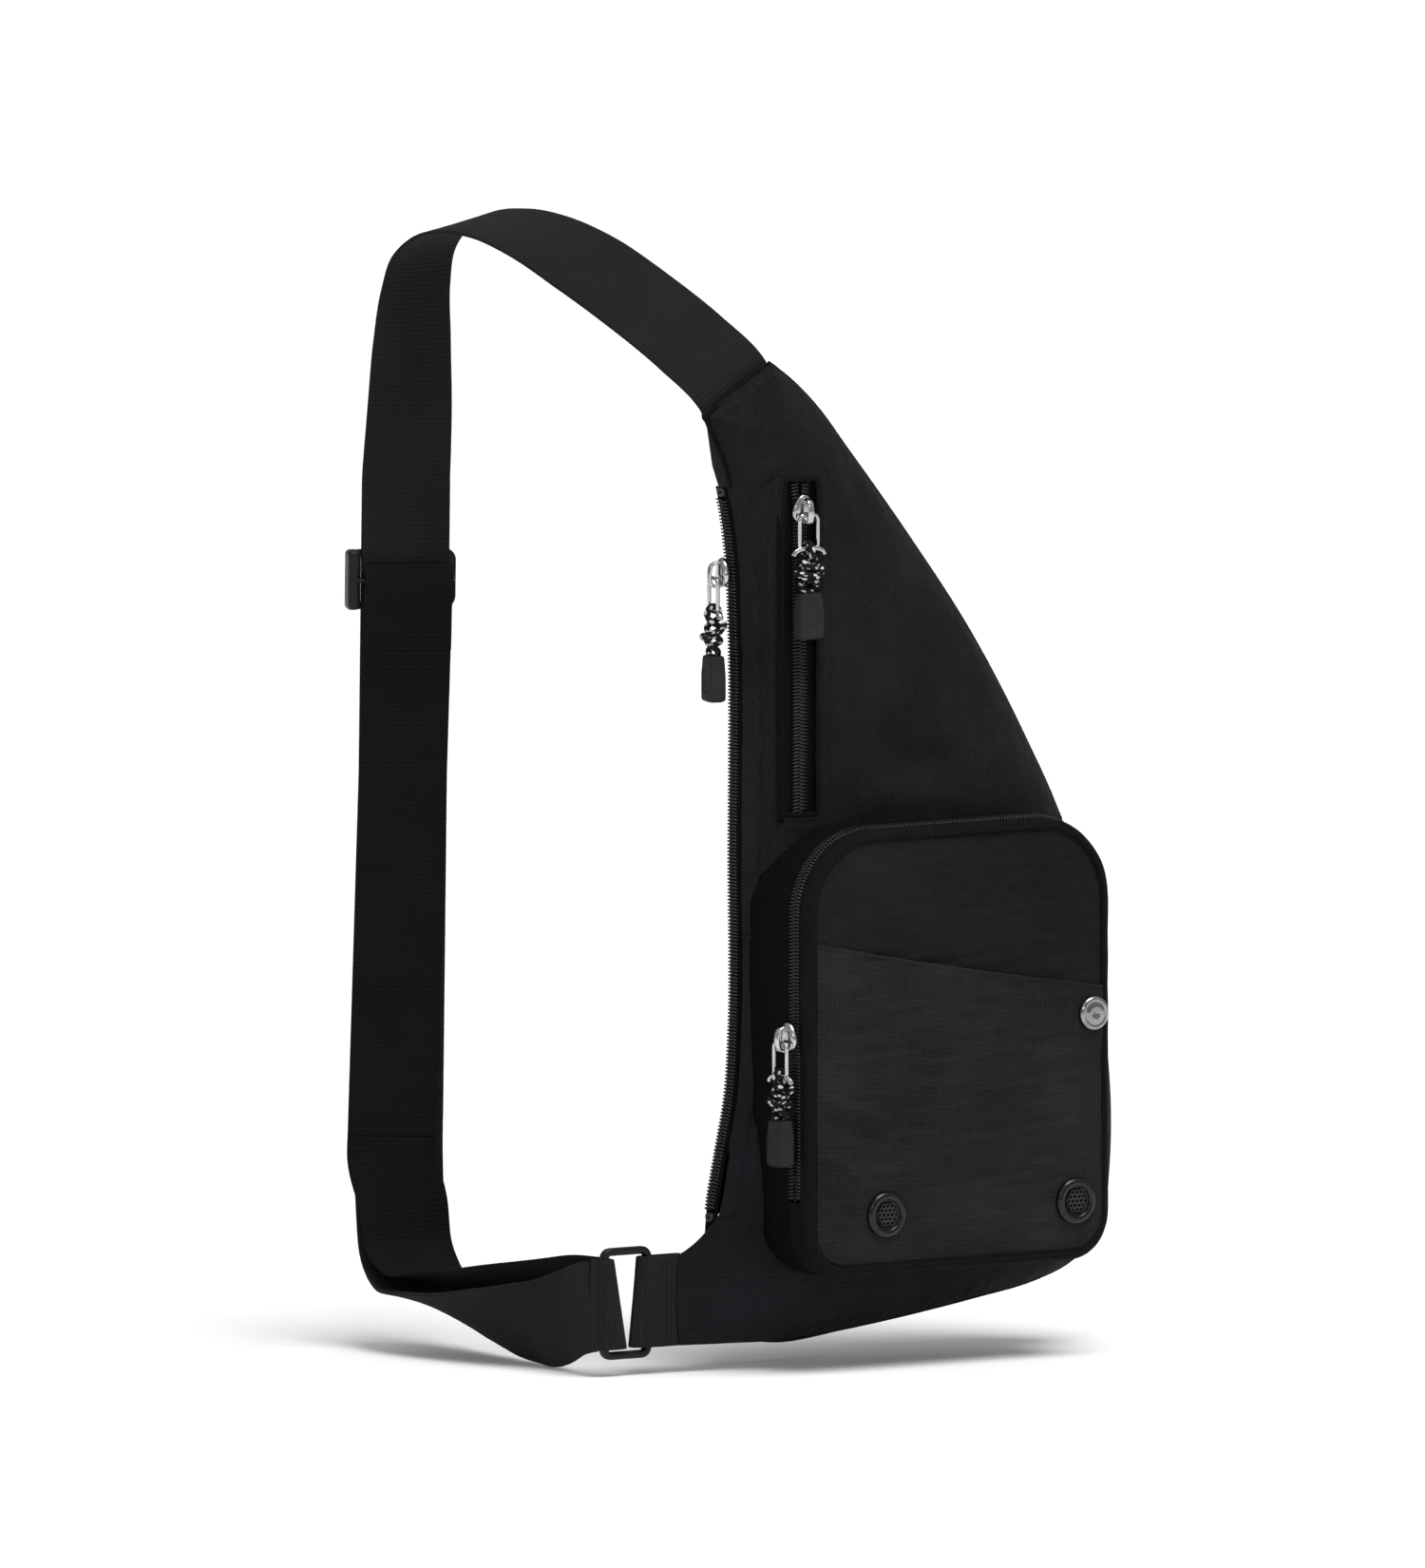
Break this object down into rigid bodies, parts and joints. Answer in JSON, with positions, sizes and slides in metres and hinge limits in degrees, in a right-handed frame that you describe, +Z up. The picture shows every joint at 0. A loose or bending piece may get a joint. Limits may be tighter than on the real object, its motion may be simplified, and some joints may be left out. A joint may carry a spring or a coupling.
{
  "type": "sling bag",
  "caption": "Teardrop soft sling bag with a zipped front pocket, slit and side zips, and one adjustable webbing strap looped from its top to a ring at the lower left.",
  "frame": {"origin": "underside of the strap at its crest, the point that rests on the shoulder or on a hook", "axes": "+X to the wearer-side right across the front, +Y from the front to the back panel, +Z up"},
  "size_m": [0.2681, 0.2133, 0.4639],
  "materials": {
    "nylon": "smooth matte woven nylon",
    "ripstop": "matte ripstop weave",
    "lining": "matte",
    "webbing": "ribbed matte webbing",
    "zip_tape": "matte ribbed tape",
    "zip_teeth": "satin",
    "pull_metal": "polished dark nickel",
    "cord": "black cord with light flecks",
    "rubber": "matte moulded",
    "buckle_plastic": "satin",
    "eyelet_plastic": "gloss",
    "mesh_plastic": "satin perforated",
    "snap_metal": "satin gunmetal",
    "foam": "matte",
    "air_mesh": "matte spacer mesh"
  },
  "bodies": {
    "bag": {"main_lining": "lining", "pocket_lining": "lining", "slit_pouch": "lining", "front_panel_upper": "nylon", "front_panel_lower": "ripstop", "side_gusset": "nylon", "wing_panel": "ripstop", "back_panel_foam": "foam", "back_panel_mesh": "air_mesh", "main_zip_tape_front": "zip_tape", "main_zip_tape_rear": "nylon", "main_zip_chain": "zip_teeth", "main_zip_stop_low": "pull_metal", "main_zip_stop_top": "pull_metal", "slit_zip_tape_left": "zip_tape", "slit_zip_tape_right": "zip_tape", "slit_zip_chain": "zip_teeth", "pocket_gusset": "nylon", "pocket_zip_chain": "zip_teeth", "pocket_band": "nylon", "pocket_fold_strip": "nylon", "pocket_front_panel": "nylon", "slash_patch": "ripstop", "eyelet_left": "eyelet_plastic", "eyelet_right": "eyelet_plastic", "eyelet_mesh_left": "mesh_plastic", "eyelet_mesh_right": "mesh_plastic", "snap_cap": "snap_metal", "snap_socket": "snap_metal", "shoulder_strap": "webbing", "strap_return": "webbing", "ring_tab": "webbing"},
    "tri_glide": {"tri_glide": "buckle_plastic", "strap_end_loop": "webbing"},
    "ring": {"square_ring": "buckle_plastic", "strap_ring_fold": "webbing"},
    "main_slider": {"main_slider": "pull_metal"},
    "main_link": {"main_link": "pull_metal"},
    "main_tail": {"main_cord": "cord", "main_end": "rubber"},
    "slit_slider": {"slit_slider": "pull_metal"},
    "slit_link": {"slit_link": "pull_metal"},
    "slit_tail": {"slit_cord": "cord", "slit_end": "rubber"},
    "pocket_slider": {"pocket_slider": "pull_metal"},
    "pocket_link": {"pocket_link": "pull_metal"},
    "pocket_tail": {"pocket_cord": "cord", "pocket_end": "rubber"}
  },
  "joints": [
    {"name": "main_zip_slide", "type": "slide", "parent": "bag", "child": "main_slider", "axis": [0, 0, 1], "range_m": [-0.155, 0.002]},
    {"name": "main_link_hinge", "type": "hinge", "parent": "main_slider", "child": "main_link", "pos_m": [0.03785, -0.10721, -0.1365], "axis": [-0.2079, -0.9781, 0], "range_deg": [-120, 0]},
    {"name": "main_tail_hinge", "type": "hinge", "parent": "main_link", "child": "main_tail", "pos_m": [0.03785, -0.10721, -0.1506], "axis": [-0.2079, -0.9781, 0], "range_deg": [-60, 0]},
    {"name": "slit_zip_slide", "type": "slide", "parent": "bag", "child": "slit_slider", "axis": [0, 0, 1], "range_m": [-0.07, 0.005]},
    {"name": "slit_link_hinge", "type": "hinge", "parent": "slit_slider", "child": "slit_link", "pos_m": [0.067, -0.1328, -0.1105], "axis": [1, 0, 0], "range_deg": [-120, 0]},
    {"name": "slit_tail_hinge", "type": "hinge", "parent": "slit_link", "child": "slit_tail", "pos_m": [0.067, -0.1328, -0.1246], "axis": [1, 0, 0], "range_deg": [-60, 0]},
    {"name": "pocket_zip_slide", "type": "slide", "parent": "bag", "child": "pocket_slider", "axis": [0, 0, 1], "range_m": [-0.06, 0.043]},
    {"name": "pocket_link_hinge", "type": "hinge", "parent": "pocket_slider", "child": "pocket_link", "pos_m": [0.0427, -0.1476, -0.3225], "axis": [0, -1, 0], "range_deg": [-120, 0]},
    {"name": "pocket_tail_hinge", "type": "hinge", "parent": "pocket_link", "child": "pocket_tail", "pos_m": [0.0427, -0.1476, -0.3366], "axis": [0, -1, 0], "range_deg": [-60, 0]},
    {"name": "tri_glide_slide", "type": "slide", "parent": "bag", "child": "tri_glide", "axis": [0.0109, -0.0036, 0.9999], "range_m": [-0.19, 0.025], "deforming": ["strap_return"]},
    {"name": "ring_swing", "type": "hinge", "parent": "bag", "child": "ring", "pos_m": [0.00365, -0.109, -0.4286], "axis": [0, 0, 1], "range_deg": [-12, 12]}
  ]
}
